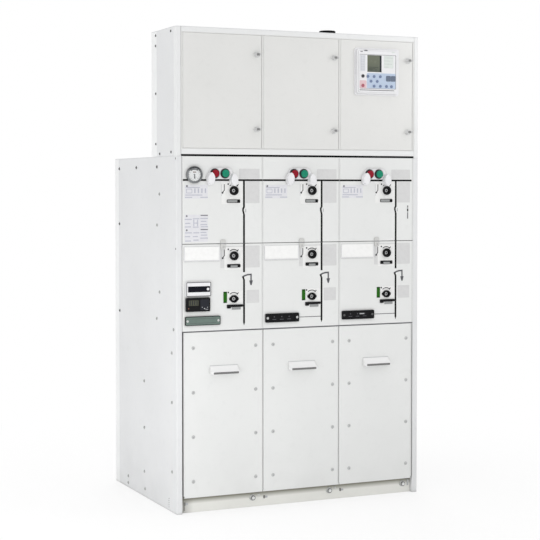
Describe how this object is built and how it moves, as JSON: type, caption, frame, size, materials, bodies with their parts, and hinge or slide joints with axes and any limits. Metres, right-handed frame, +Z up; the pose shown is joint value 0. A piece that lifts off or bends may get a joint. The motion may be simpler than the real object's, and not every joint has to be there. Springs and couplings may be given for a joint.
{
  "type": "ring main unit",
  "caption": "Floor-standing ring main unit with screwed cable covers, a push-button operating front and a low-voltage compartment with hinged doors on top.",
  "frame": {"origin": "on the floor, midway between the two sides and midway between the foremost and rearmost faces", "axes": "+Z up, -Y towards the operating front, +X to the right as seen from the front"},
  "size_m": [1.021, 0.741, 1.824],
  "materials": {
    "front_paint": "satin",
    "cabinet_paint": "satin",
    "cabinet_grey": "satin",
    "galvanised": "matte",
    "stainless": "brushed",
    "gauge_metal": "satin",
    "zinc": "satin",
    "rubber": "matte",
    "white_plastic": "satin",
    "black_plastic": "satin",
    "red_plastic": "gloss",
    "green_plastic": "gloss",
    "key_plastic": "matte",
    "screen_glass": "gloss",
    "clear_glass": "gloss"
  },
  "bodies": {
    "cabinet": {"plinth_rails": "cabinet_grey", "plinth_side_rails": "cabinet_grey", "floor_plates": "galvanised", "cable_grommets": "rubber", "side_panels": "cabinet_paint", "rear_cover": "cabinet_paint", "roof_plate": "cabinet_paint", "front_crossbars": "galvanised", "switch_tank": "stainless", "upper_front_panels": "front_paint", "lower_front_panels": "front_paint", "cable_covers": "front_paint", "cover_handles": "front_paint", "joint_strip": "rubber", "button_guards": "white_plastic", "button_collars": "black_plastic", "lever_bushings": "black_plastic", "lever_shafts": "stainless", "pressure_gauge": "gauge_metal", "gauge_glass": "clear_glass", "voltage_indicators": "black_plastic", "display_unit": "white_plastic", "fault_indicator": "black_plastic", "label_holders": "white_plastic", "padlock_tabs": "stainless", "earth_bolts": "galvanised", "compartment_posts": "front_paint", "compartment_rails": "front_paint", "compartment_mullions": "cabinet_paint", "compartment_sides": "cabinet_paint", "compartment_roof": "cabinet_paint", "compartment_floor": "cabinet_paint", "compartment_rear": "cabinet_paint", "hinge_pins": "stainless", "cable_inlet_cap": "rubber"},
    "door_1": {"door_1": "front_paint", "door_1_locks": "zinc"},
    "door_2": {"door_2": "front_paint", "door_2_locks": "zinc"},
    "door_3": {"door_3": "front_paint", "door_3_locks": "zinc", "relay_case": "galvanised", "relay_front": "white_plastic", "relay_keys": "key_plastic", "relay_screen": "screen_glass"},
    "open_button_1": {"open_button_1": "red_plastic"},
    "close_button_1": {"close_button_1": "green_plastic"},
    "open_button_2": {"open_button_2": "red_plastic"},
    "close_button_2": {"close_button_2": "green_plastic"},
    "open_button_3": {"open_button_3": "red_plastic"},
    "close_button_3": {"close_button_3": "green_plastic"}
  },
  "joints": [
    {"name": "door_1_hinge", "type": "hinge", "parent": "cabinet", "child": "door_1", "pos_m": [-0.4805, -0.3395, 1.571], "axis": [0, 0, -1], "range_deg": [0, 105]},
    {"name": "door_2_hinge", "type": "hinge", "parent": "cabinet", "child": "door_2", "pos_m": [-0.15517, -0.3395, 1.571], "axis": [0, 0, -1], "range_deg": [0, 105]},
    {"name": "door_3_hinge", "type": "hinge", "parent": "cabinet", "child": "door_3", "pos_m": [0.17017, -0.3395, 1.571], "axis": [0, 0, -1], "range_deg": [0, 105]},
    {"name": "open_button_1_slide", "type": "slide", "parent": "cabinet", "child": "open_button_1", "axis": [0, 1, 0], "range_m": [0, 0.004], "stiffness_N_per_m": 900, "springref_m": -0.004},
    {"name": "close_button_1_slide", "type": "slide", "parent": "cabinet", "child": "close_button_1", "axis": [0, 1, 0], "range_m": [0, 0.004], "stiffness_N_per_m": 900, "springref_m": -0.004},
    {"name": "open_button_2_slide", "type": "slide", "parent": "cabinet", "child": "open_button_2", "axis": [0, 1, 0], "range_m": [0, 0.004], "stiffness_N_per_m": 900, "springref_m": -0.004},
    {"name": "close_button_2_slide", "type": "slide", "parent": "cabinet", "child": "close_button_2", "axis": [0, 1, 0], "range_m": [0, 0.004], "stiffness_N_per_m": 900, "springref_m": -0.004},
    {"name": "open_button_3_slide", "type": "slide", "parent": "cabinet", "child": "open_button_3", "axis": [0, 1, 0], "range_m": [0, 0.004], "stiffness_N_per_m": 900, "springref_m": -0.004},
    {"name": "close_button_3_slide", "type": "slide", "parent": "cabinet", "child": "close_button_3", "axis": [0, 1, 0], "range_m": [0, 0.004], "stiffness_N_per_m": 900, "springref_m": -0.004}
  ]
}
